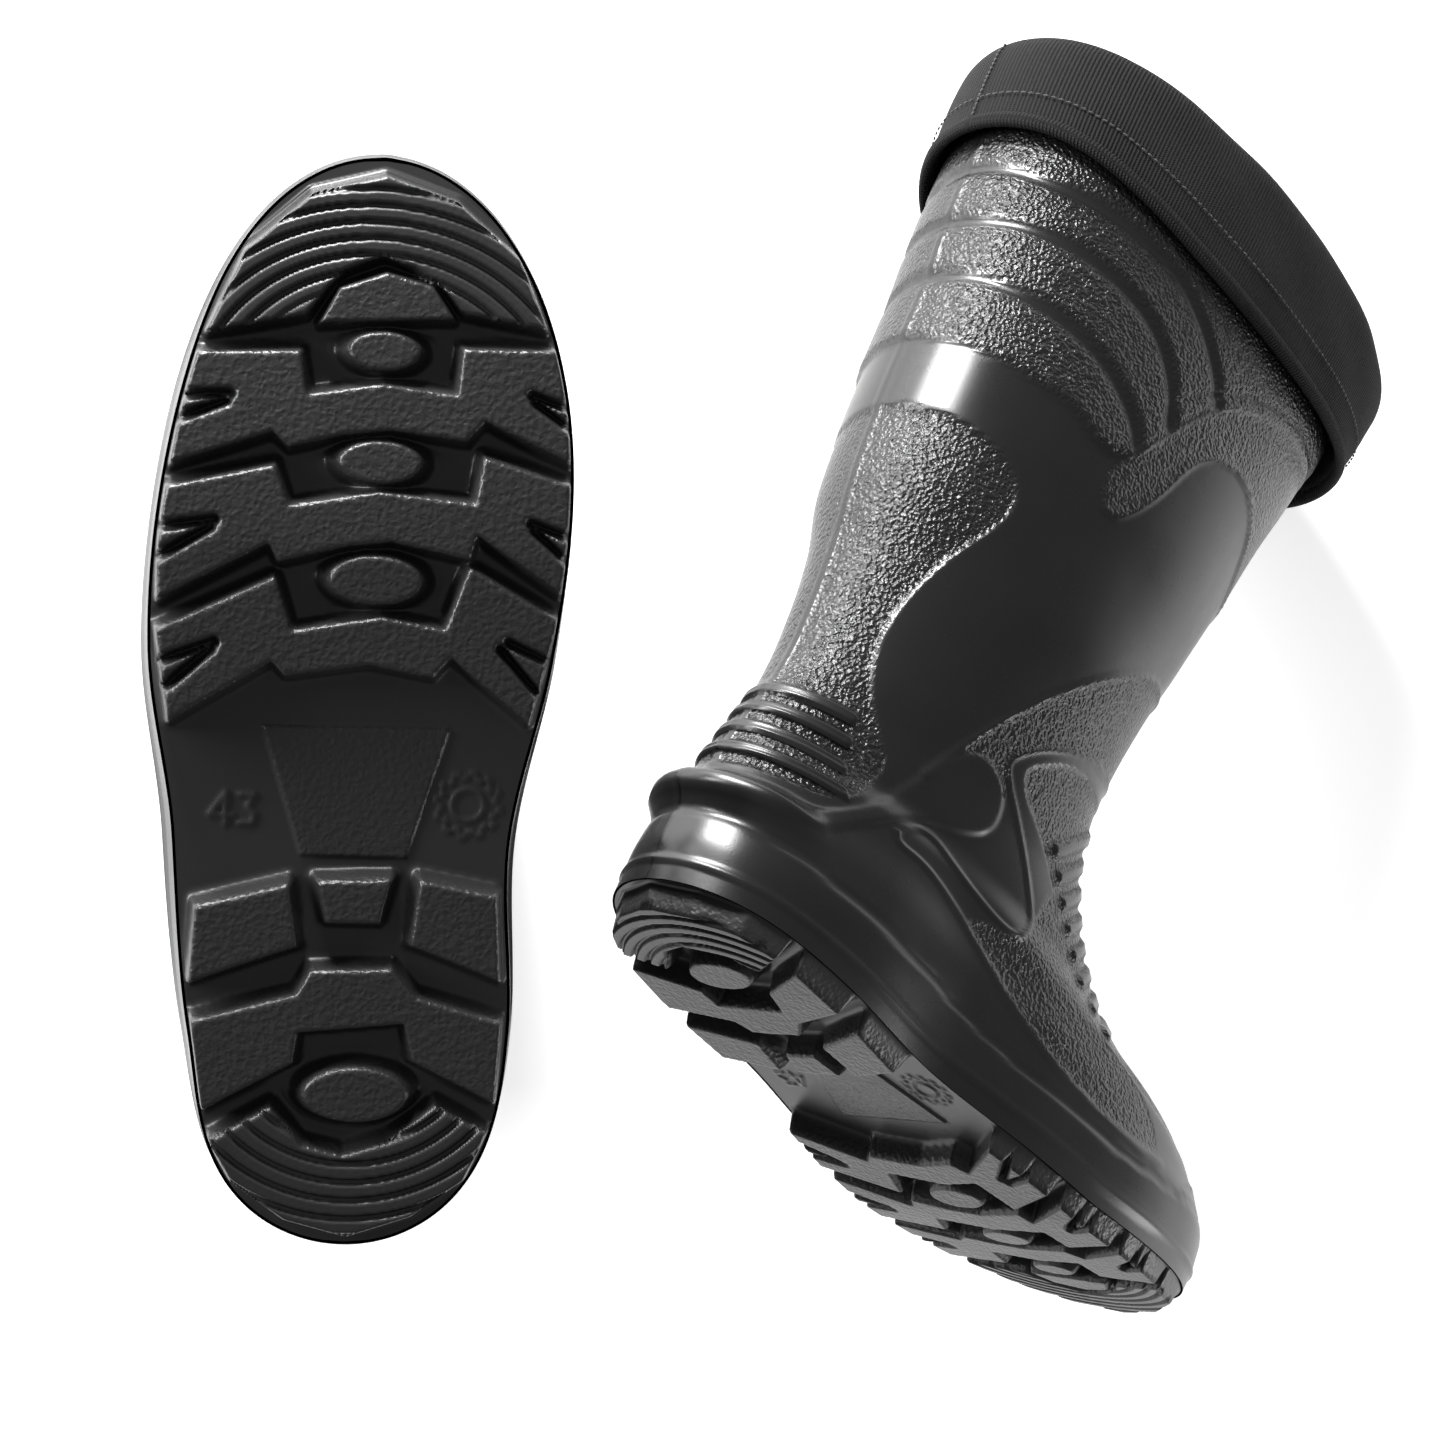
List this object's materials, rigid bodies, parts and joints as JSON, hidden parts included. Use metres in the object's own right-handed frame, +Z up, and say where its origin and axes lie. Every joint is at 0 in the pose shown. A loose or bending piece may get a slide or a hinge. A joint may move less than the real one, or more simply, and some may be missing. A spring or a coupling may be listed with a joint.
{
  "type": "wellington boots",
  "caption": "Pair of knee-length moulded foam wellington boots with deep lugged soles and pull-out felt liners whose knitted cuffs turn down over the tops.",
  "frame": {"origin": "centre of the pair's box, on the floor that the right boot's cuff stands on", "axes": "+Z up from the floor; +Y from the right boot's heel towards its toe, within a few degrees; the right boot stands upside down at -X and the left boot leans at +X"},
  "size_m": [0.5251, 0.5176, 0.4209],
  "materials": {
    "boot_foam": "satin moulded closed-cell foam with a fine leather-like grain",
    "insole_foam": "brushed felt over foam",
    "liner_felt": "napped warm felt",
    "cuff_knit": "matte rib knit",
    "seam_thread": "matte polyester thread"
  },
  "bodies": {
    "right_liner": {"right_liner_leg": "liner_felt", "right_liner_foot": "liner_felt", "right_liner_sole": "liner_felt", "right_cuff": "cuff_knit", "right_cuff_hem": "cuff_knit", "right_cuff_hem_stitching": "seam_thread", "right_cuff_back_seam": "cuff_knit", "right_leg_back_seam": "seam_thread", "right_cuff_join_seam": "seam_thread", "right_ankle_seam": "seam_thread", "right_sole_seam": "seam_thread"},
    "right_boot": {"right_boot_shell": "boot_foam", "right_insole": "insole_foam"},
    "left_liner": {"left_liner_leg": "liner_felt", "left_liner_foot": "liner_felt", "left_liner_sole": "liner_felt", "left_cuff": "cuff_knit", "left_cuff_hem": "cuff_knit", "left_cuff_hem_stitching": "seam_thread", "left_cuff_back_seam": "cuff_knit", "left_leg_back_seam": "seam_thread", "left_cuff_join_seam": "seam_thread", "left_ankle_seam": "seam_thread", "left_sole_seam": "seam_thread"},
    "left_boot": {"left_boot_shell": "boot_foam", "left_insole": "insole_foam"}
  },
  "joints": [
    {"name": "right_boot_pull", "type": "slide", "parent": "right_liner", "child": "right_boot", "axis": [-0.0035, -0.068, 0.9977], "range_m": [0, 0.4], "deforming": ["right_liner_foot", "right_liner_sole", "right_sole_seam"]},
    {"name": "left_boot_lift", "type": "slide", "parent": "right_liner", "child": "left_liner", "axis": [0.6, 0, 0.8], "range_m": [0, 0.4]},
    {"name": "left_boot_pull", "type": "slide", "parent": "left_liner", "child": "left_boot", "axis": [-0.497, -0.7582, 0.422], "range_m": [0, 0.4], "deforming": ["left_liner_foot", "left_liner_sole", "left_sole_seam"]}
  ]
}
